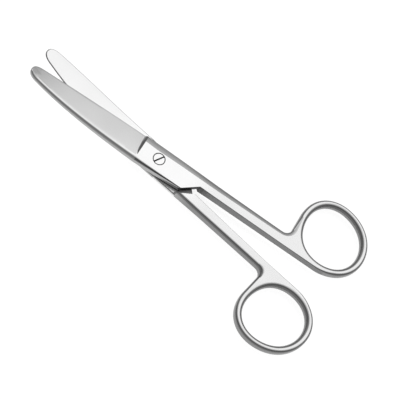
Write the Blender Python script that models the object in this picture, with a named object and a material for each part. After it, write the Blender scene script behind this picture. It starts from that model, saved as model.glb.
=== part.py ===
"""Operating scissors with curved blades and blunt tips, standing 9 degrees open.

Two forged halves cross at a lap joint and turn on one slotted screw. Both halves start from the same
blank. The back half is the front half turned over, except that both blades curve the same way, upwards.
X runs from the tips to the finger rings, Z is the pivot axis, and z = 0 is the underside of the joint.
"""

from math import atan2, cos, pi, radians, sin, tan

import bmesh
import bpy
from mathutils import Vector
from mathutils.geometry import delaunay_2d_cdt

MM = 0.001

# Opening in the rest pose, measured from the closed position
REST_OPENING = radians(9.0)

# Joint: each half is one layer thick here, and the two layers slide on each other
LAYER = 2.6 * MM
LAP_GAP = 0.2 * MM
BOX_OUTER = 5.9 * MM
BOX_SPINE = 6.15 * MM
LAP_TAPER = 1.1 * MM
LAP_POWER = 1.3
NOTCH_X = 18.55 * MM
SHOULDER_SET = 0.27 * MM
SHOULDER_ANGLE = radians(41.8)
LAP_CORNER_RADIUS = 1.8 * MM

# Blade
GRIND_X = -7.7 * MM
GRIND_SLOPE = 1.9
LAND_ROOT = 0.6 * MM
LAND_TIP = 0.12 * MM
LAND_RUN = 9.0 * MM
BLADE_LENGTH = 50.1 * MM
NOSE_LENGTH = 3.8 * MM
NOSE_POWER = 2.4
SPINE_TAPER = 0.95 * MM
SPINE_SWEEP = 1.26 * MM
EDGE_TAPER = 0.85 * MM
EDGE_SWEEP = 2.85 * MM
TIP_THICKNESS = 1.6 * MM
EDGE_THICKNESS = 0.35 * MM
CURVE_START = 8.0 * MM
CURVE_RADIUS = 257.0 * MM

# Shank
OUTER_TAPER = 0.35 * MM
OUTER_SWEEP = 0.87 * MM
NECK_LEAN = 0.2 * MM
NECK_FILLET = 2.3 * MM
INNER_START = 0.35 * MM
INNER_END = 0.75 * MM
TAPER_START_X = 8.0 * MM
TAPER_END_X = 24.0 * MM
SHANK_THICKNESS = 4.1 * MM

# Finger ring: the centre line of a rounded bar, nearly round with a slight oval, egg and square shape
RING_X = 70.7 * MM
RING_Y = 15.1 * MM
RING_RADIUS = 13.28 * MM
RING_OVAL = 0.47 * MM
RING_OVAL_ANGLE = radians(-44.0)
RING_EGG = 0.17 * MM
RING_SQUARE = 0.12 * MM
RING_WIDTH = 3.0 * MM
RING_THICKNESS = 3.5 * MM
RING_FLAT = 0.3 * MM

# Edges: the outer side has a bevel above its rounding, which gets narrower from the joint to the neck
SPINE_ROUND = 1.6 * MM
TIP_ROUND = 1.15 * MM
LAP_ROUND = 0.45 * MM
SIDE_ROUND = 0.5 * MM
BOX_BEVEL = 2.3 * MM
NECK_BEVEL = 1.35 * MM
BEVEL_ANGLE = radians(22.0)
BROKEN_EDGE = 0.25 * MM

# Pivot screw
HEAD_DIAMETER = 4.5 * MM
HEAD_DEPTH = 1.1 * MM
SCREW_DIAMETER = 3.2 * MM
SCREW_CLEARANCE = 0.12 * MM
SLOT_WIDTH = 0.6 * MM
SLOT_DEPTH = 0.55 * MM
SLOT_ANGLE = radians(65.0)

# Facets
ROUND_STEPS = 3
RING_SEGMENTS = 64
TURNED_SEGMENTS = 48
BLADE_STATIONS = 12
BLADE_ROWS = 3
NOSE_STEPS = 10
LAP_STATIONS = 6
SHANK_STATIONS = 10
CORNER_STEPS = 4


def clear_scene():
    for obj in list(bpy.data.objects):
        bpy.data.objects.remove(obj, do_unlink=True)


def steel(name, colour, roughness):
    material = bpy.data.materials.new(name)
    material.use_nodes = True
    shader = material.node_tree.nodes["Principled BSDF"]
    shader.inputs["Base Color"].default_value = (*colour, 1.0)
    shader.inputs["Metallic"].default_value = 1.0
    shader.inputs["Roughness"].default_value = roughness
    return material


def mix(a, b, t):
    return a + (b - a) * t


def share(value, start, end):
    """How far value lies on the way from start to end, kept between 0 and 1."""
    return min(max((value - start) / (end - start), 0.0), 1.0)


def steps(start, end, count):
    """count values from start, stopping one step before end."""
    return [mix(start, end, i / count) for i in range(count)]


# Plan of one half, seen on its outer face, closed: the finger ring lies at +Y and the blade along -X


def blade_share(x):
    return (GRIND_X - x) / (BLADE_LENGTH - NOSE_LENGTH)


def spine_y(x):
    u = blade_share(x)
    return -BOX_SPINE + SPINE_TAPER * u + SPINE_SWEEP * u**4


def edge_y(x):
    u = blade_share(x)
    return BOX_OUTER - EDGE_TAPER * u - EDGE_SWEEP * u**2


def neck_x():
    """Corner between the shank's outer side and the ring."""
    return ring_point(pi, RING_WIDTH / 2)[0] + NECK_LEAN


def outer_y(x):
    """Slightly bowed outer side, from the grind line along the box and the shank to the neck."""
    u = (x - GRIND_X) / (neck_x() - GRIND_X)
    return BOX_OUTER - OUTER_TAPER * u - OUTER_SWEEP * u**2


def inner_y(x):
    return mix(INNER_START, INNER_END, (x - NOTCH_X) / (neck_x() - NOTCH_X))


def lap_corner_x():
    """Where the slanted end of the lap, which starts at the notch, meets the side of the box."""
    return NOTCH_X - (BOX_SPINE - LAP_TAPER + INNER_START) / tan(SHOULDER_ANGLE)


def lap_y(x):
    return -BOX_SPINE + LAP_TAPER * share(x, GRIND_X, lap_corner_x()) ** LAP_POWER


def ring_point(angle, offset):
    radius = (
        RING_RADIUS
        + RING_OVAL * cos(2 * (angle - RING_OVAL_ANGLE))
        + RING_EGG * cos(3 * angle)
        - RING_SQUARE * cos(4 * angle)
        + offset
    )
    return RING_X + radius * cos(angle), RING_Y + radius * sin(angle)


def fillet(before, corner, after, radius, count):
    """Points of the arc that rounds the corner between two straight sides."""
    a = (Vector(before) - Vector(corner)).normalized()
    b = (Vector(after) - Vector(corner)).normalized()
    half = a.angle(b) / 2
    centre = Vector(corner) + (a + b).normalized() * (radius / sin(half))
    first = Vector(corner) + a * (radius / tan(half)) - centre
    last = Vector(corner) + b * (radius / tan(half)) - centre
    start = atan2(first.y, first.x)
    turn = (atan2(last.y, last.x) - start + pi) % (2 * pi) - pi
    return [
        (centre.x + radius * cos(start + turn * i / count), centre.y + radius * sin(start + turn * i / count))
        for i in range(count + 1)
    ]


def spine_round(x):
    return mix(SPINE_ROUND, TIP_ROUND, share(x, GRIND_X, GRIND_X - BLADE_LENGTH))


def land_y(x):
    """The land along the spine ends here, and the ground face starts."""
    land = mix(LAND_ROOT, LAND_TIP, share(x, GRIND_X, GRIND_X - LAND_RUN) ** 0.5)
    return spine_y(x) + spine_round(x) + land


def edge_profile(rounding, bevel=0.0):
    """Depth and fall, from the rim of a face over a bevel and a rounding, to the wall below them."""
    angle = BEVEL_ANGLE if bevel else 0.0
    start = bevel * tan(BEVEL_ANGLE) + rounding * cos(angle) - rounding
    turn = [mix(angle, pi / 2, i / ROUND_STEPS) for i in range(ROUND_STEPS + 1)]
    profile = [(rounding * (1 - sin(t)), start + rounding * (1 - cos(t))) for t in turn]
    return [(profile[0][0] + bevel, 0.0)] + profile


def side_profile(x):
    bevel = mix(BOX_BEVEL, NECK_BEVEL, share(x, GRIND_X, neck_x()))
    return edge_profile(SIDE_ROUND, bevel)


def spine_outline():
    """Spine, side of the lap, its corner and its slanted end, as (x, y, top edge, bottom edge)."""
    sharp = edge_profile(0.0)
    nose_x = GRIND_X - (BLADE_LENGTH - NOSE_LENGTH)
    stations = steps(nose_x, GRIND_X, BLADE_STATIONS)
    points = [(x, spine_y(x), edge_profile(spine_round(x)), sharp) for x in stations]
    corner = (lap_corner_x(), lap_y(lap_corner_x()))
    before = (corner[0] - LAP_CORNER_RADIUS, lap_y(corner[0] - LAP_CORNER_RADIUS))
    arc = fillet(before, corner, (NOTCH_X, INNER_START), LAP_CORNER_RADIUS, CORNER_STEPS)
    for x in steps(GRIND_X, arc[0][0], LAP_STATIONS):
        rounding = mix(SPINE_ROUND, LAP_ROUND, share(x, GRIND_X, arc[0][0]))
        points.append((x, lap_y(x), edge_profile(rounding), sharp))
    for i, (x, y) in enumerate(arc):
        points.append((x, y, edge_profile(mix(LAP_ROUND, BROKEN_EDGE, i / CORNER_STEPS)), sharp))
    return points


def handle_outline():
    """Inner side of the shank, outside of the ring, neck fillet, and outer side up to the grind line."""
    broken, rounded = edge_profile(BROKEN_EDGE), edge_profile((RING_WIDTH - RING_FLAT) / 2)
    points = [(x, inner_y(x), broken, broken) for x in steps(NOTCH_X, neck_x(), SHANK_STATIONS)]
    low, high = radians(-93), radians(180)
    count = round(RING_SEGMENTS * (high - low) / (2 * pi))
    for i, angle in enumerate(steps(low, high, count)):
        edge = edge_profile(mix(BROKEN_EDGE, (RING_WIDTH - RING_FLAT) / 2, share(i, -2, count / 8)))
        points.append((*ring_point(angle, RING_WIDTH / 2), edge, edge))
    corner = (neck_x(), outer_y(neck_x()))
    neck = ring_point(high, RING_WIDTH / 2)
    points.append((*neck, rounded, rounded))
    arc = fillet(neck, corner, (TAPER_END_X, outer_y(TAPER_END_X)), NECK_FILLET, CORNER_STEPS)
    for x, y in arc:
        points.append((x, y, side_profile(x), side_profile(x)))
    for x in steps(arc[-1][0], GRIND_X, SHANK_STATIONS + LAP_STATIONS)[1:]:
        points.append((x, outer_y(x), side_profile(x), side_profile(x)))
    return points


def edge_outline():
    """The end of the box at the grind line, the cutting edge and the blunt nose."""
    sharp = edge_profile(0.0)
    points = [(GRIND_X, outer_y(GRIND_X), side_profile(GRIND_X), side_profile(GRIND_X))]
    nose_x = GRIND_X - (BLADE_LENGTH - NOSE_LENGTH)
    points += [(x, edge_y(x), sharp, sharp) for x in steps(grind_foot_x(), nose_x, BLADE_STATIONS)]
    for angle in steps(pi / 2, -pi / 2, NOSE_STEPS):
        x = nose_x - NOSE_LENGTH * cos(angle) ** (2 / NOSE_POWER)
        side = abs(sin(angle)) ** (2 / NOSE_POWER) * (1 if angle > 0 else -1)
        middle, half = (edge_y(x) + spine_y(x)) / 2, (edge_y(x) - spine_y(x)) / 2
        rounded = edge_profile(TIP_ROUND * share(angle, pi / 4, -pi / 4))
        points.append((x, middle + half * side, rounded, sharp))
    return points


def grind_foot_x():
    """Where the wheel-ground shoulder meets the cutting edge."""
    return GRIND_X - (LAYER - LAP_GAP / 2 - EDGE_THICKNESS) / GRIND_SLOPE


# Heights of one half above the plane where the two layers meet


def lift(x, y):
    """Both blades follow one surface turned about the pivot, so they slide past each other at any opening."""
    beyond = max((x * x + y * y) ** 0.5 - CURVE_START, 0.0)
    return beyond**2 / (2 * CURVE_RADIUS) if x < 0 else 0.0


def half_thickness(x):
    """Half the thickness of the handle, from the box through the shank to the ring."""
    if x < TAPER_END_X:
        return mix(LAYER, SHANK_THICKNESS / 2, share(x, TAPER_START_X, TAPER_END_X))
    return mix(SHANK_THICKNESS / 2, RING_THICKNESS / 2, share(x, TAPER_END_X, neck_x()))


def outer_face(x, y, bend):
    """Outer face: level on the handle, and on the blade a flat grind from the land to the cutting edge."""
    if x >= GRIND_X:
        return half_thickness(x)
    spine = mix(LAYER, TIP_THICKNESS, min(blade_share(x), 1.0))
    edge = LAP_GAP / 2 + EDGE_THICKNESS
    grind = mix(edge, spine, share(y, edge_y(x), land_y(x)))
    shoulder = LAYER - (GRIND_X - x) * GRIND_SLOPE
    return max(grind, shoulder) + bend * lift(x, y)


def stock_face(x, y, bend):
    """Underside of the blank before the lap is cut."""
    if x >= GRIND_X:
        return -half_thickness(x)
    return bend * lift(x, y) - LAYER


def mating_face(x, y, bend):
    return LAP_GAP / 2 + bend * lift(x, y)


# Solids


def inside(point, loop):
    """Whether a point lies inside a closed outline."""
    x, y = point
    found = False
    for (ax, ay), (bx, by) in zip(loop, loop[1:] + loop[:1]):
        if (ay > y) != (by > y) and x < ax + (y - ay) * (bx - ax) / (by - ay):
            found = not found
    return found


def inward_normals(loop):
    """Unit-depth offsets at each point of a loop that has its material on the left."""
    normals = []
    for i, (x, y) in enumerate(loop):
        before = Vector((x - loop[i - 1][0], y - loop[i - 1][1])).normalized()
        following = loop[(i + 1) % len(loop)]
        after = Vector((following[0] - x, following[1] - y)).normalized()
        a, b = Vector((-before.y, before.x)), Vector((-after.y, after.x))
        normals.append((a + b) / (1 + a.dot(b)))
    return normals


def cap(bm, rims, lines, height, flip):
    """Fills the space inside the first rim and outside the others with triangles.

    Lines of more points carry the creases. A whole number in a line is a point of the first rim.
    """
    loops = [[tuple(vert.co.xy) for vert in rim] for rim in rims]
    corners = [vert for rim in rims for vert in rim]
    edges = []
    start = 0
    for loop in loops:
        edges += [(start + i, start + (i + 1) % len(loop)) for i in range(len(loop))]
        start += len(loop)
    for line in lines:
        places = []
        for point in line:
            if not isinstance(point, int):
                corners.append(bm.verts.new((*point, height(*point))))
                point = len(corners) - 1
            places.append(point)
        edges += list(zip(places, places[1:]))
    made = delaunay_2d_cdt([vert.co.xy / MM for vert in corners], edges, [], 0, 1e-6)
    vert_of = [corners[sources[0]] for sources in made[3]]
    for triangle in made[2]:
        middle = sum((made[0][i] for i in triangle), Vector((0, 0))) * MM / 3
        if inside(middle, loops[0]) and not any(inside(middle, loop) for loop in loops[1:]):
            order = reversed(triangle) if flip else triangle
            bm.faces.new([vert_of[i] for i in order])


def contoured_plate(loops, top, bottom, lines):
    """A closed solid between two faces, with the edge profiles of each outline point."""
    bm = bmesh.new()
    top_rims, bottom_rims = [], []
    for loop in loops:
        strips = []
        plan = [(x, y) for x, y, _, _ in loop]
        for (x, y, upper, lower), normal in zip(loop, inward_normals(plan)):
            high = top(x + normal.x * upper[0][0], y + normal.y * upper[0][0])
            low = bottom(x + normal.x * lower[0][0], y + normal.y * lower[0][0])
            sides = [(depth, high - fall) for depth, fall in upper]
            sides += [(depth, low + rise) for depth, rise in reversed(lower)]
            places = [(x + normal.x * depth, y + normal.y * depth, z) for depth, z in sides]
            strips.append([bm.verts.new(place) for place in places])
        for strip, following in zip(strips, strips[1:] + strips[:1]):
            for i in range(len(strip) - 1):
                bm.faces.new((strip[i], strip[i + 1], following[i + 1], following[i]))
        top_rims.append([strip[0] for strip in strips])
        bottom_rims.append([strip[-1] for strip in strips])
    spare = [[point] for line in lines for point in line if not isinstance(point, int)]
    cap(bm, top_rims, lines, top, False)
    cap(bm, bottom_rims, spare, bottom, True)
    bmesh.ops.remove_doubles(bm, verts=bm.verts, dist=0.001 * MM)
    return bm


def blade_lines(spine_end, box_end):
    """Rows of points along the blade that carry its curve, the end of the land and the grind's shoulder."""
    nose_x = GRIND_X - (BLADE_LENGTH - NOSE_LENGTH)
    stations = steps(nose_x, GRIND_X, BLADE_STATIONS)
    root = (GRIND_X, land_y(GRIND_X))
    lines = [[(x, y)] for x in stations[:-1] for y in steps(land_y(x), edge_y(x), BLADE_ROWS + 1)[1:]]
    near_root = steps(stations[-1], GRIND_X, 4)[1:]
    lines.append([(x, land_y(x)) for x in stations + near_root] + [root])
    lines.append([spine_end, root, box_end])
    lines.append([root, box_end + 1])
    return lines


def half_blank(bend):
    """The forging before the lap and the bore are cut."""
    spine, handle, edge = spine_outline(), handle_outline(), edge_outline()
    outline = spine + handle + edge
    hole = [ring_point(-2 * pi * i / RING_SEGMENTS, -RING_WIDTH / 2) for i in range(RING_SEGMENTS)]
    rounded = edge_profile((RING_WIDTH - RING_FLAT) / 2)
    hole = [(x, y, rounded, rounded) for x, y in hole]
    return contoured_plate(
        [outline, hole],
        lambda x, y: outer_face(x, y, bend),
        lambda x, y: stock_face(x, y, bend),
        blade_lines(BLADE_STATIONS, len(spine) + len(handle)),
    )


def lap_cutter(bend):
    """Everything that the other half's layer takes up: under the mating face, short of the shoulder."""
    margin = 4 * MM
    reach = BLADE_LENGTH - GRIND_X + margin
    side = 2 * BOX_OUTER
    shoulder_x = NOTCH_X + SHOULDER_SET
    run = side / tan(SHOULDER_ANGLE)
    low_end, high_end = (shoulder_x + run, INNER_START - side), (shoulder_x - run, INNER_START + side)
    outline = [(-reach, -side), low_end, high_end, (-reach, side)]
    arm = radians(14)
    points = [(0.0, 0.0), (CURVE_START, 0.0)]
    for ring in range(BLADE_STATIONS + 2):
        radius = mix(CURVE_START, reach - margin / 2, ring / (BLADE_STATIONS + 1))
        spread = max(arm, atan2(BOX_OUTER + margin / 4, radius))
        points += [(-radius * cos(a), radius * sin(a)) for a in steps(-spread, spread * 1.5, 5)]
    deep = -2 * LAYER - lift(-reach, 0)
    sharp = edge_profile(0.0)
    return contoured_plate(
        [[(x, y, sharp, sharp) for x, y in outline]],
        lambda x, y: mating_face(x, y, bend),
        lambda x, y: deep,
        [[point] for point in points if inside(point, outline)],
    )


def new_object(name, bm, material):
    mesh = bpy.data.meshes.new(name)
    bm.to_mesh(mesh)
    bm.free()
    mesh.materials.append(material)
    mesh.shade_smooth()
    mesh.set_sharp_from_angle(angle=radians(28))
    obj = bpy.data.objects.new(name, mesh)
    bpy.context.scene.collection.objects.link(obj)
    return obj


def turned(profile):
    """A closed turned body from (radius, height) pairs that run down its outer side."""
    bm = bmesh.new()
    angles = [2 * pi * i / TURNED_SEGMENTS for i in range(TURNED_SEGMENTS)]
    rings = [[bm.verts.new((r * cos(a), r * sin(a), z)) for a in angles] for r, z in profile]
    for upper, lower in zip(rings, rings[1:]):
        for i in range(TURNED_SEGMENTS):
            j = (i + 1) % TURNED_SEGMENTS
            bm.faces.new((upper[i], lower[i], lower[j], upper[j]))
    bm.faces.new(rings[0])
    bm.faces.new(list(reversed(rings[-1])))
    return bm


def cut(obj, cutter):
    """Takes the cutter's shape away from the object."""
    cutter.parent = obj
    cutter.hide_render = True
    cutter.display_type = "WIRE"
    boolean = obj.modifiers.new(cutter.name, "BOOLEAN")
    boolean.operation = "DIFFERENCE"
    boolean.solver = "EXACT"
    boolean.object = cutter


def front_bore():
    """Clearance for the screw's shank and the sunk seat for its head."""
    over = 2 * MM
    head = HEAD_DIAMETER / 2 + SCREW_CLEARANCE
    shank = SCREW_DIAMETER / 2 + SCREW_CLEARANCE
    seat = LAYER - HEAD_DEPTH - SCREW_CLEARANCE
    return turned([(head, LAYER + over), (head, seat), (shank, seat), (shank, -over)])


def back_bore():
    over = 2 * MM
    shank = SCREW_DIAMETER / 2 + SCREW_CLEARANCE
    return turned([(shank, LAYER + over), (shank, -over)])


def scissor_half(name, material, bend, bore):
    half = new_object(name, half_blank(bend), material)
    cut(half, new_object(name + "_lap_cutter", lap_cutter(bend), material))
    cut(half, new_object(name + "_bore_cutter", bore, material))
    return half


def pivot_screw(material):
    """Slotted cheese head, flush with the front face, and a shank that ends flush with the underside."""
    head, shank = HEAD_DIAMETER / 2, SCREW_DIAMETER / 2
    profile = [(head, LAYER), (head, LAYER - HEAD_DEPTH), (shank, LAYER - HEAD_DEPTH), (shank, -LAYER)]
    screw = new_object("pivot_screw", turned(profile), material)
    slot = bmesh.new()
    bmesh.ops.create_cube(slot, size=1)
    bmesh.ops.scale(slot, vec=(2 * HEAD_DIAMETER, SLOT_WIDTH, 2 * SLOT_DEPTH), verts=slot.verts)
    cutter = new_object("slot_cutter", slot, material)
    cutter.location = (0, 0, LAYER)
    cutter.rotation_euler = (0, 0, SLOT_ANGLE)
    cut(screw, cutter)
    return screw


clear_scene()

front = scissor_half("front_half", steel("front_steel", (0.80, 0.80, 0.80), 0.30), 1, front_bore())
front.rotation_euler = (0, 0, REST_OPENING / 2)

back = scissor_half("back_half", steel("back_steel", (0.78, 0.78, 0.79), 0.30), -1, back_bore())
back.rotation_euler = (pi, 0, -REST_OPENING / 2)

screw = pivot_screw(steel("screw_steel", (0.82, 0.82, 0.82), 0.25))

for piece in (front, back, screw):
    piece.location = (0, 0, LAYER)
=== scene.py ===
"""Looks of the operating scissors: satin steel with ground faces, lying on a plain white floor."""

from collections import namedtuple
from math import atan2, cos, pi, radians, sin, tan

import bmesh
import bpy
from mathutils import Matrix, Vector
from mathutils.geometry import delaunay_2d_cdt


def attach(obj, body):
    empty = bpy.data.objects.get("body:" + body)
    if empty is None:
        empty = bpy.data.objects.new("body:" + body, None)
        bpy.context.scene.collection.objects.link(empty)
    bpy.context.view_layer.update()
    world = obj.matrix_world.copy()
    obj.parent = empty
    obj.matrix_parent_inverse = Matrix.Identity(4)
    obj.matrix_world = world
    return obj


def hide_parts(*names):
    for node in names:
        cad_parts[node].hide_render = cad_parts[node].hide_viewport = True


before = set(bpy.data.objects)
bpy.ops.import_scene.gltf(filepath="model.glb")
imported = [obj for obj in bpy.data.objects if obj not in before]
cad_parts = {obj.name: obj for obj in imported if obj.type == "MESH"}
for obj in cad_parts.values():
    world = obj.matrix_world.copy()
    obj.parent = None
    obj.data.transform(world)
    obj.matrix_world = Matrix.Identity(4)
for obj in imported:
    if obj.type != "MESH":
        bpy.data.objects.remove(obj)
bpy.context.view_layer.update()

# Back half: the lower one, drop forged from stainless bar, then milled, ground and hardened. It is the front
# half's blank turned over, with its blade bent the other way, so that both blades curve upwards. It has a
# satin finish; its sides and edges are painted darker than its flat faces, as painted shade, and its flat
# faces are lighter at the box than on the shank.

MM = 0.001
BOX_GREY = 0.90
SHANK_GREY = 0.79
# Sides: painted shade, darker than the flat faces, less dark along the blade than on the shank
SIDE_SHADE_GREY = 0.25
BLADE_SIDE_SHADE_GREY = 0.42
# Painted shade for the milled recesses, the ramp and the lap's rim
PAINTED_SHADE_GREY = 0.06
# Painted highlight for the lap's outer side
PAINTED_LIGHT_GREY = 0.72
FACE_ROUGHNESS = 0.20
SIDE_ROUGHNESS = 0.24
GROUND_ROUGHNESS = 0.5
SIDE_TILT = 0.91
FACE_TILT = 0.985
CLOUD_SCALE = 90.0
CLOUD_CONTRAST = 0.03
GRAIN_ROUGHNESS = 0.02
GRAIN_STRENGTH = 0.05
GRAIN_DEPTH = 0.01 * MM
ROOT_FADE = (-24.0 * MM, -8.0 * MM)
SHANK_FADE = (12.0 * MM, 26.0 * MM)
SIDE_FADE = (8.0 * MM, 20.0 * MM)

# Finish values: below the plain satin a painted highlight; above the ground finish, more and more painted
# shade
PAINTED_LIGHT = -1.0
BUFFED = 0.0
SLIDING = 0.15
GROUND = 0.5
DULL_AND_SHADED = 0.8
SHADED = 0.9
MILLED_AND_SHADED = 1.0


def satin_steel(name, blade_tone_and_shade=0.86, grain_length=6.0, grain_width=0.12):
    """Satin steel with fine brushing along X, its marks in millimetres.

    The mesh's finish value runs from a painted highlight over the plain satin, rougher up to the ground
    finish, to painted shade, which is dark. Sides are painted darker than flat faces, as painted shade.
    """
    material = bpy.data.materials.new(name)
    material.use_nodes = True
    nodes, links = material.node_tree.nodes, material.node_tree.links
    shader = nodes["Principled BSDF"]
    shader.inputs["Metallic"].default_value = 1.0

    def from_range(value, low, high, to_low=0.0, to_high=1.0):
        node = nodes.new("ShaderNodeMapRange")
        node.interpolation_type = "SMOOTHSTEP"
        for socket, number in zip(node.inputs[1:5], (low, high, to_low, to_high)):
            socket.default_value = number
        links.new(value, node.inputs["Value"])
        return node.outputs["Result"]

    def between(factor, a, b):
        node = nodes.new("ShaderNodeMix")
        for name, value in (("Factor", factor), ("A", a), ("B", b)):
            socket = node.inputs[name]
            if isinstance(value, float):
                socket.default_value = value
            else:
                links.new(value, socket)
        return node.outputs["Result"]

    def maths(operation, a, b=None):
        node = nodes.new("ShaderNodeMath")
        node.operation = operation
        links.new(a, node.inputs[0])
        if b:
            links.new(b, node.inputs[1])
        return node.outputs[0]

    place = nodes.new("ShaderNodeTexCoord")
    turn = nodes.new("ShaderNodeMapping")
    turn.inputs["Scale"].default_value = (1000 / grain_length, 1000 / grain_width, 1000 / grain_width)
    links.new(place.outputs["Object"], turn.inputs["Vector"])
    grain = nodes.new("ShaderNodeTexNoise")
    grain.inputs["Scale"].default_value = 1.0
    grain.inputs["Detail"].default_value = 3.0
    links.new(turn.outputs["Vector"], grain.inputs["Vector"])
    cloud = nodes.new("ShaderNodeTexNoise")
    cloud.inputs["Scale"].default_value = CLOUD_SCALE
    cloud.inputs["Detail"].default_value = 2.0
    links.new(place.outputs["Object"], cloud.inputs["Vector"])

    tilt = nodes.new("ShaderNodeSeparateXYZ")
    links.new(place.outputs["Normal"], tilt.inputs["Vector"])
    face = from_range(maths("ABSOLUTE", tilt.outputs["Z"]), SIDE_TILT, FACE_TILT)
    where = nodes.new("ShaderNodeSeparateXYZ")
    links.new(place.outputs["Object"], where.inputs["Vector"])
    # The blade face's grey fades into the box's grey; it is set darker on the front half as painted shade
    front_tone = from_range(where.outputs["X"], *ROOT_FADE, blade_tone_and_shade, BOX_GREY)
    behind = from_range(where.outputs["X"], *SHANK_FADE)
    flat_tone = between(behind, front_tone, SHANK_GREY)
    # Sides carry painted shade: a darker grey than the flat faces
    side_shade = from_range(where.outputs["X"], *SIDE_FADE, BLADE_SIDE_SHADE_GREY, SIDE_SHADE_GREY)
    finish_and_shade = nodes.new("ShaderNodeAttribute")
    finish_and_shade.attribute_name = "finish_and_shade"

    clouding = from_range(cloud.outputs["Fac"], 0, 1, 1 - CLOUD_CONTRAST, 1 + CLOUD_CONTRAST)
    tone = maths("MULTIPLY", between(face, side_shade, flat_tone), clouding)
    # Finish values above the ground finish turn the colour to painted shade, those below the plain satin to a
    # painted highlight
    painted_shade = from_range(finish_and_shade.outputs["Fac"], GROUND, MILLED_AND_SHADED)
    painted_light = from_range(finish_and_shade.outputs["Fac"], PAINTED_LIGHT, BUFFED, 1.0, 0.0)
    tone = between(painted_light, tone, PAINTED_LIGHT_GREY)
    links.new(between(painted_shade, tone, PAINTED_SHADE_GREY), shader.inputs["Base Color"])
    smooth = between(face, SIDE_ROUGHNESS, FACE_ROUGHNESS)
    rough = between(from_range(finish_and_shade.outputs["Fac"], BUFFED, GROUND), smooth, GROUND_ROUGHNESS)
    brushing = from_range(grain.outputs["Fac"], 0, 1, -GRAIN_ROUGHNESS, GRAIN_ROUGHNESS)
    links.new(maths("ADD", rough, brushing), shader.inputs["Roughness"])

    bump = nodes.new("ShaderNodeBump")
    bump.inputs["Strength"].default_value = GRAIN_STRENGTH
    bump.inputs["Distance"].default_value = GRAIN_DEPTH
    links.new(grain.outputs["Fac"], bump.inputs["Height"])
    links.new(bump.outputs["Normal"], shader.inputs["Normal"])
    return material


# Its plan, on the outer face with the scissors closed: the ring lies towards +X and +Y, the blade towards -X

BOX_OUTER = 5.9 * MM
BOX_SPINE = 6.15 * MM
LAP_TAPER = 1.1 * MM
LAP_POWER = 1.3
LAP_CORNER_RADIUS = 1.8 * MM
NOTCH_X = 18.55 * MM
SHOULDER_SET = 0.27 * MM
SLOT_FOOT = 2.6 * MM
SLOT_HEAD = 1.0 * MM
SLOT_REACH = 2.3 * MM
JOINT_X = 3.0 * MM
NOTCH_SHADE = 9.0 * MM
SHOULDER_ANGLE = radians(41.8)
GRIND_X = -7.7 * MM
NOSE_X = -54.0 * MM
NOSE_LENGTH = 3.8 * MM
NOSE_POWER = 2.4
SPINE_TAPER = 0.95 * MM
SPINE_SWEEP = 1.26 * MM
EDGE_TAPER = 0.85 * MM
EDGE_SWEEP = 2.85 * MM
NECK_LEAN = 0.2 * MM
NECK_FILLET = 3.0 * MM
INNER_START = 0.35 * MM
OUTER_MARGIN = 0.9 * MM
SLOT_POINTS = 6
HEAD_TRIES = 20
RING_X = 70.7 * MM
RING_Y = 15.1 * MM
RING_RADIUS = 13.28 * MM
RING_OVAL = 0.47 * MM
RING_OVAL_ANGLE = radians(-44.0)
RING_EGG = 0.17 * MM
RING_SQUARE = 0.12 * MM
RING_WIDTH = 3.0 * MM
RING_START = radians(-93)
RING_LEAD = 2
RING_BLEND = 8

# What the two halves don't share: the way the blade bends, and the taper of the shank's outer and inner side

Half = namedtuple("Half", "bend outer_taper outer_sweep inner_end")


def mix(a, b, t):
    return a + (b - a) * t


def share(value, start, end):
    """How far value lies on the way from start to end, kept between 0 and 1."""
    return min(max((value - start) / (end - start), 0.0), 1.0)


def steps(start, end, count):
    """count values from start, stopping one step before end."""
    return [mix(start, end, i / count) for i in range(count)]


def spine_y(x):
    u = (GRIND_X - x) / (GRIND_X - NOSE_X)
    return -BOX_SPINE + SPINE_TAPER * u + SPINE_SWEEP * u**4


def edge_y(x):
    u = max((GRIND_X - x) / (GRIND_X - NOSE_X), 0.0)
    return BOX_OUTER - EDGE_TAPER * u - EDGE_SWEEP * u**2


def outer_y(half, x):
    u = (x - GRIND_X) / (NECK_X - GRIND_X)
    return BOX_OUTER - half.outer_taper * u - half.outer_sweep * u**2


def inner_y(half, x):
    return mix(INNER_START, half.inner_end, (x - NOTCH_X) / (NECK_X - NOTCH_X))


def lap_end():
    """Corner of the lap, where its slanted end meets the side that runs back from the spine."""
    return NOTCH_X - (BOX_SPINE - LAP_TAPER + INNER_START) / tan(SHOULDER_ANGLE)


def lap_y(x):
    return -BOX_SPINE + LAP_TAPER * share(x, GRIND_X, lap_end()) ** LAP_POWER


def shoulder_ends(half):
    """The shoulder runs across the shank, from the inner side at the notch to the outer side."""
    foot_x = NOTCH_X + SHOULDER_SET
    head_x = foot_x
    for _ in range(HEAD_TRIES):
        head_x = foot_x - (outer_y(half, head_x) - inner_y(half, foot_x)) / tan(SHOULDER_ANGLE)
    return foot_x, head_x


def ring_point(angle, offset):
    oval = RING_OVAL * cos(2 * (angle - RING_OVAL_ANGLE))
    radius = RING_RADIUS + oval + RING_EGG * cos(3 * angle) - RING_SQUARE * cos(4 * angle) + offset
    return RING_X + radius * cos(angle), RING_Y + radius * sin(angle)


NECK_X = ring_point(pi, RING_WIDTH / 2)[0] + NECK_LEAN


def fillet(before, corner, after, radius, count):
    """Points of the arc that rounds the corner between two straight sides."""
    a = (Vector(before) - Vector(corner)).normalized()
    b = (Vector(after) - Vector(corner)).normalized()
    half = a.angle(b) / 2
    centre = Vector(corner) + (a + b).normalized() * (radius / sin(half))
    first = Vector(corner) + a * (radius / tan(half)) - centre
    last = Vector(corner) + b * (radius / tan(half)) - centre
    start = atan2(first.y, first.x)
    turn = (atan2(last.y, last.x) - start + pi) % (2 * pi) - pi
    angles = [start + turn * i / count for i in range(count + 1)]
    return [(centre.x + radius * cos(angle), centre.y + radius * sin(angle)) for angle in angles]


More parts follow.
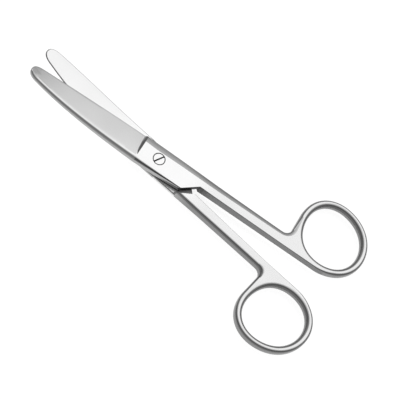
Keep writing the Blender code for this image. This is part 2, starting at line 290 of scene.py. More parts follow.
# Its faces, as heights over the plane where the halves slide: a wheel hollows the blade and leaves a land

LAYER = 2.6 * MM
LAP_GAP = 0.2 * MM
TIP_THICKNESS = 1.6 * MM
EDGE_THICKNESS = 0.35 * MM
RAMP_WIDTH = 1.3 * MM
RAMP_POWER = 0.33
RAMP_HOLLOW = 0.6
LEAST_DEPTH = 0.0001
CROWN = 0.10
LAND_ROOT = 0.6 * MM
LAND_TIP = 0.3 * MM
LAND_RUN = 9.0 * MM
CURVE_START = 8.0 * MM
CURVE_RADIUS = 257.0 * MM
TAPER_START_X = 8.0 * MM
TAPER_END_X = 24.0 * MM
SHANK_THICKNESS = 4.1 * MM
RING_THICKNESS = 3.5 * MM
SPINE_ROUND = 1.6 * MM
TIP_ROUND = 1.15 * MM


def lift(x, y):
    beyond = max((x * x + y * y) ** 0.5 - CURVE_START, 0.0)
    return beyond**2 / (2 * CURVE_RADIUS) if x < 0 else 0.0


def half_thickness(x):
    if x < TAPER_END_X:
        return mix(LAYER, SHANK_THICKNESS / 2, share(x, TAPER_START_X, TAPER_END_X))
    return mix(SHANK_THICKNESS / 2, RING_THICKNESS / 2, share(x, TAPER_END_X, NECK_X))


def spine_round(x):
    return mix(SPINE_ROUND, TIP_ROUND, share(x, GRIND_X, NOSE_X))


def land_y(x):
    """Where the land along the spine ends and the ground face starts."""
    land = mix(LAND_ROOT, LAND_TIP, share(x, GRIND_X, GRIND_X - LAND_RUN) ** 0.5)
    return spine_y(x) + spine_round(x) + land


def ramp_foot(y):
    """The wheel's ramp is as wide as the ground face is deep, so it runs out at the land."""
    depth = share(y, land_y(GRIND_X), edge_y(GRIND_X))
    return GRIND_X - RAMP_WIDTH * max(depth, LEAST_DEPTH) ** RAMP_POWER


def outer_face(x, y, bend):
    if x >= GRIND_X:
        return half_thickness(x)
    spine = mix(LAYER, TIP_THICKNESS, min((GRIND_X - x) / (GRIND_X - NOSE_X), 1.0))
    depth = share(y, land_y(x), edge_y(x))
    ground = mix(spine, LAP_GAP / 2 + EDGE_THICKNESS, depth * (1 - CROWN + CROWN * depth))
    ramp = share(x, GRIND_X, ramp_foot(y))
    return mix(spine, ground, ramp * (1 + RAMP_HOLLOW - RAMP_HOLLOW * ramp)) + bend * lift(x, y)


def mating_face(x, y, bend):
    return LAP_GAP / 2 + bend * lift(x, y)


# Its outline and the rounding of its edges: open underneath at the lap, and of full thickness at the handle

LAP_ROUND = 0.45 * MM
SIDE_ROUND = 0.5 * MM
BOX_BEVEL = 2.9 * MM
BEVEL_START = 0.9
BEVEL_RUN = 5.0 * MM
NECK_ROUND = 1.0 * MM
NECK_BEVEL = 1.1 * MM
SHANK_BEVEL = 1.25 * MM
BEVEL_ANGLE = radians(19.0)
BEVEL_CROWN = radians(3.0)
BACK_ROUND = 1.45 * MM
RING_ROUND = 1.2 * MM
HOLE_ROUND = 1.72 * MM
NECK_SWELL = 0.8 * MM
BROKEN_EDGE = 0.25 * MM
HONED_EDGE = 0.1 * MM
HONED_BEVEL = 0.36 * MM
HONED_ANGLE = radians(35.0)
CUTTING_EDGE = 0.02 * MM
CUTTING_BEVEL = 0.24 * MM
CUTTING_ANGLE = radians(18.0)
BLADE_STATIONS = 56
RAMP_STEPS = 6
SHANK_STATIONS = 24
RING_SEGMENTS = 180
CORNER_STEPS = 14
NOSE_STEPS = 28
ROUND_STEPS = 10
BEVEL_STEPS = 5


def edge_profile(rounding, bevel=0.0, angle=0.0, crown=0.0):
    """Depth and fall from the rim of a face over a bevel and a rounding, to the wall that stands below.

    A crowned bevel starts flatter than its angle by the crown and ends steeper by it.
    """
    last = angle + crown
    turn = [mix(last, pi / 2, i / ROUND_STEPS) for i in range(ROUND_STEPS + 1)]
    rim = rounding * (1 - sin(last)) + bevel
    slopes = [tan(mix(angle - crown, last, (i + 0.5) / BEVEL_STEPS)) for i in range(BEVEL_STEPS)]
    profile = [(rim, 0.0)]
    for slope in slopes:
        depth, fall = profile[-1]
        profile.append((depth - bevel / BEVEL_STEPS, fall + slope * bevel / BEVEL_STEPS))
    foot = profile[-1][1] - rounding * (1 - cos(last))
    return profile + [(rounding * (1 - sin(t)), foot + rounding * (1 - cos(t))) for t in turn[1:]]


BROKEN = edge_profile(BROKEN_EDGE)
HONED = edge_profile(HONED_EDGE, HONED_BEVEL, HONED_ANGLE)
CUTTING = edge_profile(CUTTING_EDGE, CUTTING_BEVEL, CUTTING_ANGLE)


def outer_side(x):
    """Edge of the outer side, whose bevel gets narrower from the joint to the neck."""
    bevel = mix(BOX_BEVEL, SHANK_BEVEL, share(x, GRIND_X, NECK_X))
    bevel *= mix(BEVEL_START, 1.0, share(x, GRIND_X, GRIND_X + BEVEL_RUN))
    return edge_profile(SIDE_ROUND, bevel, BEVEL_ANGLE, BEVEL_CROWN)


def lap_outline(half):
    """Spine, side of the lap, its corner and its slanted end, up to the shoulder's foot."""
    stations = steps(NOSE_X, GRIND_X, BLADE_STATIONS)
    points = [(x, spine_y(x), edge_profile(spine_round(x)), HONED, "lap") for x in stations]
    corner = (lap_end(), lap_y(lap_end()))
    before = (corner[0] - LAP_CORNER_RADIUS, lap_y(corner[0] - LAP_CORNER_RADIUS))
    arc = fillet(before, corner, (NOTCH_X, INNER_START), LAP_CORNER_RADIUS, CORNER_STEPS)
    for x in steps(GRIND_X, arc[0][0], SHANK_STATIONS):
        edge = mix(SPINE_ROUND, LAP_ROUND, share(x, GRIND_X, arc[0][0]))
        points.append((x, lap_y(x), edge_profile(edge), HONED, "lap"))
    for i, (x, y) in enumerate(arc):
        points.append((x, y, edge_profile(mix(LAP_ROUND, BROKEN_EDGE, i / CORNER_STEPS)), HONED, "lap"))
    for x in (NOTCH_X, shoulder_ends(half)[0]):
        points.append((x, inner_y(half, x), BROKEN, HONED, "lap"))
    return points


def handle_outline(half):
    """Inner side of the shank, outside of the ring, neck, and outer side up to the shoulder's head."""
    foot_x, head_x = shoulder_ends(half)
    points = [(x, inner_y(half, x), BROKEN, BROKEN, "handle") for x in steps(foot_x, NECK_X, SHANK_STATIONS)]
    low, high = RING_START, pi
    count = round(RING_SEGMENTS * (high - low) / (2 * pi))
    for i, angle in enumerate(steps(low, high, count)):
        edge = edge_profile(mix(BROKEN_EDGE, RING_ROUND, share(i, -RING_LEAD, count / RING_BLEND)))
        points.append((*ring_point(angle, RING_WIDTH / 2), edge, edge, "handle"))
    neck = ring_point(high, RING_WIDTH / 2)
    points.append((*neck, edge_profile(RING_ROUND), edge_profile(RING_ROUND), "handle"))
    corner = (NECK_X, outer_y(half, NECK_X))
    arc = fillet(neck, corner, (TAPER_END_X, outer_y(half, TAPER_END_X)), NECK_FILLET, CORNER_STEPS)
    for i, (x, y) in enumerate(arc):
        t = i / CORNER_STEPS
        bevel = mix(NECK_BEVEL, SHANK_BEVEL, t)
        edge = edge_profile(mix(NECK_ROUND, SIDE_ROUND, t), bevel, BEVEL_ANGLE, BEVEL_CROWN)
        under = edge_profile(mix(RING_ROUND, BACK_ROUND, t) + NECK_SWELL * sin(pi * t))
        points.append((x, y, edge, under, "handle"))
    for x in steps(points[-1][0], head_x + 2 * BOX_BEVEL, SHANK_STATIONS)[1:] + [head_x]:
        points.append((x, outer_y(half, x), outer_side(x), edge_profile(BACK_ROUND), "handle"))
    return points


def cut_profile(profile, fall):
    """The point of a profile at a given fall, or its foot where the wall is cut lower."""
    for (a_depth, a_fall), (b_depth, b_fall) in zip(profile, profile[1:]):
        if a_fall <= fall <= b_fall and b_fall > a_fall:
            return mix(a_depth, b_depth, (fall - a_fall) / (b_fall - a_fall)), fall
    return 0.0, fall


def edge_outline(half):
    """Outer side of the box from the shoulder's head, the wheel's ramp, the cutting edge and the nose."""
    points = []
    for x in steps(shoulder_ends(half)[1], GRIND_X, SHANK_STATIONS):
        points.append((x, outer_y(half, x), outer_side(x), HONED, "lap"))
    whole = outer_side(GRIND_X)
    for x in steps(GRIND_X, GRIND_X - RAMP_WIDTH, RAMP_STEPS):
        fall = LAYER - outer_face(x, edge_y(x), 0)
        cut = [cut_profile(whole, max(fall, step[1])) for step in whole]
        points.append((x, edge_y(x), cut, HONED, "lap"))
    for x in steps(GRIND_X - RAMP_WIDTH, NOSE_X, BLADE_STATIONS):
        points.append((x, edge_y(x), CUTTING, HONED, "lap"))
    for angle in steps(pi / 2, -pi / 2, NOSE_STEPS):
        x = NOSE_X - NOSE_LENGTH * cos(angle) ** (2 / NOSE_POWER)
        side = abs(sin(angle)) ** (2 / NOSE_POWER) * (1 if angle > 0 else -1)
        middle = (edge_y(x) + spine_y(x)) / 2
        reach = (edge_y(x) - spine_y(x)) / 2
        turned = share(angle, pi / 4, -pi / 4)
        rounding = mix(CUTTING_EDGE, TIP_ROUND, turned)
        edge = edge_profile(rounding, CUTTING_BEVEL * (1 - turned), CUTTING_ANGLE * (1 - turned))
        points.append((x, middle + reach * side, edge, HONED, "lap"))
    return points


# Its mesh: strips down the sides over both rounded edges, and triangles over the faces between them

BLADE_ROWS = 9
BORE_SEGMENTS = 96
BORE_CHAMFER = 0.14 * MM
INSIDE_ONLY = 1
SAME_POINT = 0.0002 * MM
FILL_TOLERANCE = 1e-5
SHARP_ANGLE = radians(10.5)
UPRIGHT_TILT = 0.5
LEVEL_TILT = 0.9
RIM_TILT = (0.55, 0.93)
HONED_TILT = (0.3, 0.95)
SIDE_TILT_LIMIT = 0.8
SIDE_FACING = 0.5
RIM_FACING = -0.25
SHOULDER_TOLERANCE = 0.08


def inward(points):
    """Inset of a unit at each point of a loop with its material on the left, also along the shoulder.

    The shoulder's ends are double points, one for each level.
    """
    plan = [Vector(point[:2]) for point in points]
    insets = []
    for i, here in enumerate(plan):
        twin_before = plan[i - 1] == here
        twin_after = plan[(i + 1) % len(plan)] == here
        before = here - plan[i - 2 if twin_before else i - 1]
        after = plan[(i + 2 if twin_after else i + 1) % len(plan)] - here
        sides = [Vector((-way.y, way.x)).normalized() for way in (before, after)]
        inset = (sides[0] + sides[1]) / (1 + sides[0].dot(sides[1]))
        along = inset
        if twin_before or twin_after:
            along = Vector((cos(SHOULDER_ANGLE), -sin(SHOULDER_ANGLE)))
            along = along / along.dot(inset) * inset.length_squared
        insets.append((inset, along))
    return insets


def side_strip(bm, point, insets, top, bottom):
    """Vertices from the top face's rim over its rounding and down the wall to the bottom face's rim."""
    x, y, upper, lower, _ = point
    inset, along = insets
    (rim, start), (base, _) = upper[0], lower[0]
    high = top(x + inset.x * rim, y + inset.y * rim) + start
    low = bottom(x + along.x * base, y + along.y * base)
    strip = []
    for deep, fall in upper:
        strip.append(bm.verts.new((x + inset.x * deep, y + inset.y * deep, high - fall)))
    for deep, rise in reversed(lower):
        strip.append(bm.verts.new((x + along.x * deep, y + along.y * deep, low + rise)))
    return strip


def bore_strips(bm, profile):
    """A turned hole through the half, from (radius, height) pairs that run down its wall."""
    strips = []
    for i in range(BORE_SEGMENTS):
        angle = -2 * pi * i / BORE_SEGMENTS
        strips.append([bm.verts.new((r * cos(angle), r * sin(angle), z)) for r, z in profile])
    return strips


def join_strips(bm, strips):
    for strip, following in zip(strips, strips[1:] + strips[:1]):
        for i in range(len(strip) - 1):
            corners = (strip[i], strip[i + 1], following[i + 1], following[i])
            bm.faces.new(corners)


def within(point, loop):
    """Whether a point lies inside a closed loop."""
    x, y = point
    found = False
    for (ax, ay), (bx, by) in zip(loop, loop[1:] + loop[:1]):
        if (ay > y) != (by > y) and x < ax + (y - ay) * (bx - ax) / (by - ay):
            found = not found
    return found


def fill(bm, rims, lines, height, flip):
    """Triangles inside the first rim and outside the others, with lines of more points in between."""
    holes = [[tuple(vert.co.xy) for vert in rim] for rim in rims[1:]]
    verts = [vert for rim in rims for vert in rim]
    edges = []
    for rim in rims:
        first = len(edges)
        edges += [(first + i, first + (i + 1) % len(rim)) for i in range(len(rim))]
    for line in lines:
        first = len(verts)
        for point in line:
            verts.append(point if hasattr(point, "co") else bm.verts.new((*point, height(*point))))
        edges += [(first + i, first + i + 1) for i in range(len(line) - 1)]
    made = delaunay_2d_cdt([vert.co.xy / MM for vert in verts], edges, [], INSIDE_ONLY, FILL_TOLERANCE)
    for triangle in made[2]:
        middle = sum((made[0][i] for i in triangle), Vector((0, 0))) * MM / 3
        if not any(within(middle, loop) for loop in holes):
            corners = [verts[made[3][i][0]] for i in triangle]
            bm.faces.new(corners[::-1] if flip else corners)


def blade_lines(ramp_rim):
    """Lines of points over the ground face: across the blade, along the land and down the wheel's ramp."""
    lines = []
    for x in steps(NOSE_X, GRIND_X - RAMP_WIDTH, BLADE_STATIONS):
        lines += [[(x, y)] for y in steps(land_y(x), edge_y(x), BLADE_ROWS)[1:]]
    land = [(x, land_y(x)) for x in steps(NOSE_X, GRIND_X, BLADE_STATIONS)]
    lines.append(land + [(GRIND_X, land_y(GRIND_X))])
    for i, vert in enumerate(ramp_rim):
        rows = steps(edge_y(GRIND_X) - outer_side(GRIND_X)[0][0], land_y(GRIND_X), 2 * BLADE_ROWS)[1:]
        lines.append([vert] + [(mix(GRIND_X, ramp_foot(y), i / RAMP_STEPS), y) for y in rows])
    return lines


def slot_edge(half, y):
    """Edge of the dull strip of the sliding face before the shoulder, which carries painted shade, narrower
    towards the outer side.
    """
    foot_x, head_x = shoulder_ends(half)
    across = share(y, inner_y(half, foot_x), outer_y(half, head_x))
    width = mix(SLOT_FOOT, SLOT_HEAD, across) / sin(SHOULDER_ANGLE)
    return mix(foot_x, head_x, across) - width


def mark_finish(bm, half):
    """Marks the finish of the lap's sliding faces, painted shade on the bore, the shoulder, the strip before
    it, the notch, the ramp and the lap's rims and honed bevel, and a painted highlight on the lap's outer
    side.
    """
    finish_and_shade = bm.faces.layers.float.new("finish_and_shade")
    shoulder_head = shoulder_ends(half)[1]
    for face in bm.faces:
        x, y, z = face.calc_center_median()
        normal = face.normal
        upright = abs(normal.z) < UPRIGHT_TILT
        before_notch = GRIND_X < x < NOTCH_X
        mating = abs(normal.z) > LEVEL_TILT and 0 < z < LAP_GAP and x > JOINT_X
        bored = x * x + y * y < (BOX_OUTER / 2) ** 2 and z < LAYER - BORE_CHAMFER
        slanted = abs(abs(normal.x) - sin(SHOULDER_ANGLE)) < SHOULDER_TOLERANCE
        shoulder = upright and slanted and lap_end() < x < NOTCH_X + MM
        notch = upright and x > NOTCH_X and abs(y - inner_y(half, x)) < BROKEN_EDGE
        lap_edge = normal.y < RIM_FACING and RIM_TILT[0] < normal.z < RIM_TILT[1] and before_notch
        under_edge = 0 < z < LAP_GAP / 2 + HONED_BEVEL and HONED_TILT[0] < -normal.z < HONED_TILT[1]
        honed = under_edge and normal.y < 0 and GRIND_X < x
        ground = GRIND_X - RAMP_WIDTH < x < GRIND_X and land_y(x) < y < edge_y(x)
        ramp = normal.z < RIM_TILT[1] and ground and z > MM
        outward = z > LAP_GAP / 2 and abs(normal.z) < SIDE_TILT_LIMIT and normal.y > SIDE_FACING
        lap_side = outward and JOINT_X < x < shoulder_head
        face[finish_and_shade] = SLIDING if mating else BUFFED
        # Painted shade on the bore, the shoulder, the strip before it, the notch, the lap's rim and the ramp
        if bored or shoulder:
            face[finish_and_shade] = MILLED_AND_SHADED
        elif mating and x > slot_edge(half, y) and y > inner_y(half, x) - SLOT_REACH:
            face[finish_and_shade] = DULL_AND_SHADED
        elif notch:
            face[finish_and_shade] = mix(MILLED_AND_SHADED, GROUND, share(x, NOTCH_X, NOTCH_X + NOTCH_SHADE) ** 0.5)
        elif lap_edge:
            face[finish_and_shade] = mix(DULL_AND_SHADED, MILLED_AND_SHADED, share(x, GRIND_X, lap_end()))
        elif honed:
            face[finish_and_shade] = SHADED
        elif ramp:
            face[finish_and_shade] = DULL_AND_SHADED
        # Painted highlight on the lap's outer side
        elif lap_side:
            face[finish_and_shade] = PAINTED_LIGHT


def half_mesh(half, bore):
    """A whole half, its blade bent towards its outer face (bend 1) or away from it (bend -1)."""
    bm = bmesh.new()
    points = lap_outline(half) + handle_outline(half) + edge_outline(half)
    insets = inward(points)

    def top(x, y):
        return outer_face(x, y, half.bend)

    def sliding(x, y):
        return mating_face(x, y, half.bend)

    def underside(x, y):
        return -half_thickness(x)

    strips = []
    for point, inset in zip(points, insets):
        bottom = sliding if point[4] == "lap" else underside
        strips.append(side_strip(bm, point, inset, top, bottom))
    join_strips(bm, strips)

    hole = [ring_point(-2 * pi * i / RING_SEGMENTS, -RING_WIDTH / 2) for i in range(RING_SEGMENTS)]
    hole = [(x, y, edge_profile(HOLE_ROUND), edge_profile(HOLE_ROUND), "handle") for x, y in hole]
    hole_strips = [side_strip(bm, point, inset, top, underside) for point, inset in zip(hole, inward(hole))]
    join_strips(bm, hole_strips)
    bore_sides = bore_strips(bm, bore)
    join_strips(bm, bore_sides)

    first = len(lap_outline(half))
    last = first + len(handle_outline(half))
    lap_rim = [strip[-1] for strip in strips[last:] + strips[:first]]
    handle_rim = [strip[-1] for strip in strips[first:last]]
    hole_rims = [[strip[i] for strip in hole_strips] for i in (0, -1)]
    bore_rims = [[strip[i] for strip in bore_sides] for i in (0, -1)]
    ramp = last + SHANK_STATIONS
    ramp_rim = [strip[0] for strip in strips[ramp:ramp + RAMP_STEPS + 1]]
    fill(bm, [[strip[0] for strip in strips], hole_rims[0], bore_rims[0]], blade_lines(ramp_rim), top, False)
    foot_x, head_x = shoulder_ends(half)
    ends = (inner_y(half, foot_x) - SLOT_REACH, outer_y(half, head_x) - OUTER_MARGIN)
    heights = [mix(*ends, i / SLOT_POINTS) for i in range(SLOT_POINTS + 1)]
    slot = [(slot_edge(half, y), y) for y in heights]
    fill(bm, [lap_rim, bore_rims[1]], blade_lines([]) + [slot], sliding, True)
    fill(bm, [handle_rim, hole_rims[1]], [], None, True)
    bm.faces.new((lap_rim[0], handle_rim[-1], handle_rim[0], lap_rim[-1]))
    bmesh.ops.remove_doubles(bm, verts=bm.verts, dist=SAME_POINT)
    bmesh.ops.recalc_face_normals(bm, faces=bm.faces)
    mark_finish(bm, half)
    return bm


def finished(name, bm, turn, material):
    """A piece in its place: turned about the pivot, with sharp edges where its faces meet at an angle."""
    bm.transform(Matrix.Translation((0, 0, LAYER)) @ turn)
    mesh = bpy.data.meshes.new(name)
    bm.to_mesh(mesh)
    bm.free()
    mesh.materials.append(material)
    mesh.shade_smooth()
    mesh.set_sharp_from_angle(angle=SHARP_ANGLE)
    piece = bpy.data.objects.new(name, mesh)
    bpy.context.scene.collection.objects.link(piece)
    normals = piece.modifiers.new("flat_faces", "WEIGHTED_NORMAL")
    normals.keep_sharp = True
    return piece


# Its place under the front half, with a bore for the threaded end of the pivot screw

REST_OPENING = radians(9.0)
SCREW_DIAMETER = 3.2 * MM
SCREW_CLEARANCE = 0.12 * MM

shank_bore = SCREW_DIAMETER / 2 + SCREW_CLEARANCE
back_profile = [
    (shank_bore + BORE_CHAMFER, LAYER),
    (shank_bore, LAYER - BORE_CHAMFER),
    (shank_bore, LAP_GAP / 2),
]
back_form = Half(bend=-1, outer_taper=1.75 * MM, outer_sweep=-0.53 * MM, inner_end=0.75 * MM)
back = finished(
    "back_half_steel",
    half_mesh(back_form, back_profile),
    Matrix.Rotation(-REST_OPENING / 2, 4, "Z") @ Matrix.Rotation(pi, 4, "X"),
    satin_steel("back_satin"),
)
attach(back, "back")
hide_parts("back_half")

# Front half: the upper one, of the same steel and from the same blank, with its blade bent upwards. A sunk
# seat takes the head of the pivot screw, and its shank ends in the ring for the thumb.

HEAD_DIAMETER = 4.5 * MM
HEAD_DEPTH = 1.1 * MM

head_bore = HEAD_DIAMETER / 2 + SCREW_CLEARANCE
seat = LAYER - HEAD_DEPTH - SCREW_CLEARANCE
front_profile = [
    (head_bore + BORE_CHAMFER, LAYER),
    (head_bore, LAYER - BORE_CHAMFER),
    (head_bore, seat),
    (shank_bore, seat),
    (shank_bore, LAP_GAP / 2),
]
front_form = Half(bend=1, outer_taper=0.75 * MM, outer_sweep=-0.33 * MM, inner_end=0.45 * MM)
front = finished(
    "front_half_steel",
    half_mesh(front_form, front_profile),
    Matrix.Rotation(REST_OPENING / 2, 4, "Z"),
    # The front blade's face is set darker, as painted shade
    satin_steel("front_satin", blade_tone_and_shade=0.80),
)
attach(front, "front")
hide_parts("front_half")

# Pivot screw: a slotted cheese head of the same steel, turned from bar and flush with the front face. Its
# shank holds both halves and ends flush with the underside. The slot is milled, and painted shade keeps it
# dark.

HEAD_CHAMFER = 0.14 * MM
SLOT_WIDTH = 0.6 * MM
SLOT_DEPTH = 0.55 * MM
SLOT_ANGLE = radians(65.0)
STEP_DEPTH = 0.002 * MM
SCREW_SEGMENTS = 96
PROFILE_POINTS = 5
SLOT_SHARE = 0.4


def slotted_screw_tree():
    """A turned body: a circle swept down a short line, its scale changing, with a slot cut into the head."""
    tree = bpy.data.node_groups.new("slotted_screw", "GeometryNodeTree")
    head_sizes = ("Head Diameter", "Head Depth", "Head Chamfer")
    other_sizes = ("Shank Diameter", "Length", "Slot Width", "Slot Depth", "Slot Angle")
    for name in head_sizes + other_sizes:
        tree.interface.new_socket(name, in_out="INPUT", socket_type="NodeSocketFloat")
    tree.interface.new_socket("Steel", in_out="INPUT", socket_type="NodeSocketMaterial")
    tree.interface.new_socket("Geometry", in_out="OUTPUT", socket_type="NodeSocketGeometry")
    nodes, links = tree.nodes, tree.links
    given = nodes.new("NodeGroupInput").outputs

    def maths(operation, a, b):
        node = nodes.new("ShaderNodeMath")
        node.operation = operation
        for socket, value in zip(node.inputs, (a, b)):
            if isinstance(value, (int, float)):
                socket.default_value = value
            else:
                links.new(value, socket)
        return node.outputs[0]

    def by_index(values):
        node = nodes.new("GeometryNodeIndexSwitch")
        node.data_type = "FLOAT"
        while len(node.index_switch_items) < len(values):
            node.index_switch_items.new()
        links.new(nodes.new("GeometryNodeInputIndex").outputs[0], node.inputs["Index"])
        for i, value in enumerate(values):
            links.new(value, node.inputs[str(i)])
        return node.outputs[0]

    head = maths("DIVIDE", given["Head Diameter"], 2)
    shank = maths("DIVIDE", given["Shank Diameter"], 2)
    under = maths("ADD", given["Head Depth"], STEP_DEPTH)
    zero = maths("MULTIPLY", given["Length"], 0)
    depths = by_index([zero, given["Head Chamfer"], given["Head Depth"], under, given["Length"]])
    radii = by_index([maths("SUBTRACT", head, given["Head Chamfer"]), head, head, shank, shank])

    line = nodes.new("GeometryNodeMeshLine")
    line.inputs["Count"].default_value = PROFILE_POINTS
    place = nodes.new("ShaderNodeCombineXYZ")
    links.new(maths("MULTIPLY", depths, -1), place.inputs["Z"])
    moved = nodes.new("GeometryNodeSetPosition")
    links.new(line.outputs["Mesh"], moved.inputs["Geometry"])
    links.new(place.outputs["Vector"], moved.inputs["Position"])
    path = nodes.new("GeometryNodeMeshToCurve")
    links.new(moved.outputs["Geometry"], path.inputs["Mesh"])
    circle = nodes.new("GeometryNodeCurvePrimitiveCircle")
    circle.inputs["Resolution"].default_value = SCREW_SEGMENTS
    circle.inputs["Radius"].default_value = 1.0
    body = nodes.new("GeometryNodeCurveToMesh")
    links.new(path.outputs["Curve"], body.inputs["Curve"])
    links.new(circle.outputs["Curve"], body.inputs["Profile Curve"])
    links.new(radii, body.inputs["Scale"])
    body.inputs["Fill Caps"].default_value = True

    slot_size = nodes.new("ShaderNodeCombineXYZ")
    links.new(maths("MULTIPLY", given["Head Diameter"], 2), slot_size.inputs["X"])
    links.new(given["Slot Width"], slot_size.inputs["Y"])
    links.new(maths("MULTIPLY", given["Slot Depth"], 2), slot_size.inputs["Z"])
    slot_turn = nodes.new("ShaderNodeCombineXYZ")
    links.new(given["Slot Angle"], slot_turn.inputs["Z"])
    block = nodes.new("GeometryNodeMeshCube")
    links.new(slot_size.outputs["Vector"], block.inputs["Size"])
    turned = nodes.new("GeometryNodeTransform")
    links.new(block.outputs["Mesh"], turned.inputs["Geometry"])
    links.new(slot_turn.outputs["Vector"], turned.inputs["Rotation"])
    cut = nodes.new("GeometryNodeMeshBoolean")
    cut.operation = "DIFFERENCE"
    cut.solver = "EXACT"
    links.new(body.outputs["Mesh"], cut.inputs["Mesh 1"])
    links.new(turned.outputs["Geometry"], cut.inputs["Mesh 2"])

    where = nodes.new("ShaderNodeSeparateXYZ")
    links.new(nodes.new("GeometryNodeInputPosition").outputs[0], where.inputs["Vector"])
    # Faces deep in the slot take painted shade through the finish value
    sunk = maths("LESS_THAN", where.outputs["Z"], maths("MULTIPLY", given["Slot Depth"], -SLOT_SHARE))
    mark = nodes.new("GeometryNodeStoreNamedAttribute")
    mark.data_type = "FLOAT"
    mark.domain = "FACE"
    mark.inputs["Name"].default_value = "finish_and_shade"
    links.new(cut.outputs["Mesh"], mark.inputs["Geometry"])
    links.new(sunk, mark.inputs["Value"])
    whole = nodes.new("GeometryNodeRealizeInstances")
    links.new(mark.outputs["Geometry"], whole.inputs["Geometry"])
    dressed = nodes.new("GeometryNodeSetMaterial")
    links.new(whole.outputs["Geometry"], dressed.inputs["Geometry"])
    links.new(given["Steel"], dressed.inputs["Material"])
    links.new(dressed.outputs["Geometry"], nodes.new("NodeGroupOutput").inputs["Geometry"])
    return tree


screw_tree = slotted_screw_tree()
screw = bpy.data.objects.new("pivot_screw_steel", bpy.data.meshes.new("pivot_screw_steel"))
bpy.context.scene.collection.objects.link(screw)
build = screw.modifiers.new("slotted_screw", "NODES")
build.node_group = screw_tree
screw_sizes = {
    "Head Diameter": HEAD_DIAMETER,
    "Head Depth": HEAD_DEPTH,
    "Head Chamfer": HEAD_CHAMFER,
    "Shank Diameter": SCREW_DIAMETER,
    "Length": 2 * LAYER,
    "Slot Width": SLOT_WIDTH,
    "Slot Depth": SLOT_DEPTH,
    "Slot Angle": SLOT_ANGLE,
    "Steel": satin_steel("screw_satin"),
}
for socket in screw_tree.interface.items_tree:
    if socket.in_out == "INPUT":
        build[socket.identifier] = screw_sizes[socket.name]
bpy.context.view_layer.update()
screw_mesh = bpy.data.meshes.new_from_object(screw.evaluated_get(bpy.context.evaluated_depsgraph_get()))
screw.modifiers.clear()
screw.data = screw_mesh
screw_mesh.transform(Matrix.Translation((0, 0, 2 * LAYER)))
screw_mesh.shade_smooth()
screw_mesh.set_sharp_from_angle(angle=SHARP_ANGLE)
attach(screw, "back")
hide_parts("pivot_screw")

# Plain white floor under the joint, wider than the view. The camera and the reflections see it white, and
# it keeps the scissors' soft shadow.

FLOOR_SIZE = 8.0
FLOOR_GREY = 0.45
FLOOR_GLOW = 0.84

bpy.ops.mesh.primitive_plane_add(size=FLOOR_SIZE, location=(0, 0, 0))
floor = bpy.context.object
floor.name = "floor"
paper = bpy.data.materials.new("white_paper")
paper.use_nodes = True
nodes, links = paper.node_tree.nodes, paper.node_tree.links
sheet = nodes["Principled BSDF"]
sheet.inputs["Base Color"].default_value = (FLOOR_GREY, FLOOR_GREY, FLOOR_GREY, 1)
sheet.inputs["Roughness"].default_value = 1.0
sheet.inputs["Specular IOR Level"].default_value = 0.0
sheet.inputs["Emission Color"].default_value = (1, 1, 1, 1)
path = nodes.new("ShaderNodeLightPath")
seen = nodes.new("ShaderNodeMath")
links.new(path.outputs["Is Camera Ray"], seen.inputs[0])
links.new(path.outputs["Is Glossy Ray"], seen.inputs[1])
seen_too = nodes.new("ShaderNodeMath")
links.new(seen.outputs[0], seen_too.inputs[0])
links.new(path.outputs["Is Transmission Ray"], seen_too.inputs[1])
glow = nodes.new("ShaderNodeMath")
glow.operation = "MULTIPLY"
glow.inputs[1].default_value = FLOOR_GLOW
links.new(seen_too.outputs[0], glow.inputs[0])
links.new(glow.outputs[0], sheet.inputs["Emission Strength"])
floor.data.materials.append(paper)

# Studio light: one large soft lamp overhead, a little behind the scissors, in a grey room

LAMP_DIRECTION = (-0.01, 0.56, 0.83)
LAMP_SPREAD = 0.28
ROOM = (
    (0.0, 0.56), (0.12, 0.46), (0.25, 0.34), (0.38, 0.24), (0.52, 0.28), (0.66, 0.36), (0.78, 0.46),
    (0.90, 0.58), (0.95, 0.73), (0.975, 0.92), (0.992, 1.11), (1.0, 1.13),
)

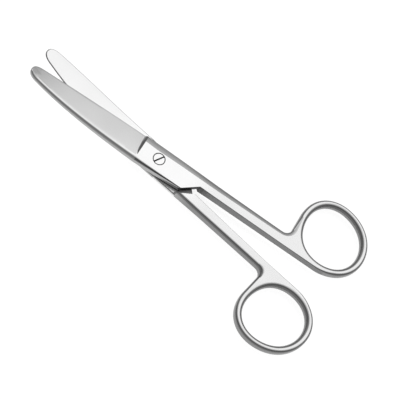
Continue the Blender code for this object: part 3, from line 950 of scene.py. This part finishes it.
world = bpy.data.worlds.new("studio")
bpy.context.scene.world = world
world.use_nodes = True
nodes, links = world.node_tree.nodes, world.node_tree.links
direction = nodes.new("ShaderNodeTexCoord")
towards = nodes.new("ShaderNodeVectorMath")
towards.operation = "DOT_PRODUCT"
towards.inputs[1].default_value = Vector(LAMP_DIRECTION).normalized()
wide = nodes.new("ShaderNodeVectorMath")
wide.operation = "MULTIPLY"
wide.inputs[1].default_value = (LAMP_SPREAD, 1.0, 1.0)
links.new(direction.outputs["Generated"], wide.inputs[0])
evened = nodes.new("ShaderNodeVectorMath")
evened.operation = "NORMALIZE"
links.new(wide.outputs["Vector"], evened.inputs[0])
links.new(evened.outputs["Vector"], towards.inputs[0])
room = nodes.new("ShaderNodeValToRGB")
while len(room.color_ramp.elements) < len(ROOM):
    room.color_ramp.elements.new(0.5)
for stop, (position, level) in zip(room.color_ramp.elements, ROOM):
    stop.position = position
    stop.color = (level, level, level, 1)
links.new(towards.outputs["Value"], room.inputs["Fac"])
links.new(room.outputs["Color"], nodes["Background"].inputs["Color"])

# Camera, looking down on the scissors from beside the handles

CAMERA_AZIMUTH = radians(-92.056)
CAMERA_ELEVATION = radians(61.0)
CAMERA_ROLL = radians(40.460)
CAMERA_DISTANCE = 0.94212
CAMERA_TARGET = (0.021306, -0.002768, 0.0052)
CAMERA_LENS = 2542.9
IMAGE_SIZE = 400
SENSOR_WIDTH = 36.0
CLIP_START = 0.01

away = Vector((
    cos(CAMERA_ELEVATION) * cos(CAMERA_AZIMUTH),
    cos(CAMERA_ELEVATION) * sin(CAMERA_AZIMUTH),
    sin(CAMERA_ELEVATION),
))
level = Vector((0, 0, 1)).cross(away).normalized()
steep = away.cross(level)
right = level * cos(CAMERA_ROLL) + steep * sin(CAMERA_ROLL)
up = steep * cos(CAMERA_ROLL) - level * sin(CAMERA_ROLL)
lens = bpy.data.cameras.new("camera")
lens.sensor_width = SENSOR_WIDTH
lens.lens = CAMERA_LENS / IMAGE_SIZE * SENSOR_WIDTH
lens.clip_start = CLIP_START
camera = bpy.data.objects.new("camera", lens)
bpy.context.scene.collection.objects.link(camera)
camera.matrix_world = Matrix.Translation(Vector(CAMERA_TARGET) + away * CAMERA_DISTANCE) @ Matrix(
    (right, up, away)
).transposed().to_4x4()
bpy.context.scene.camera = camera
bpy.context.scene.view_settings.view_transform = "Standard"
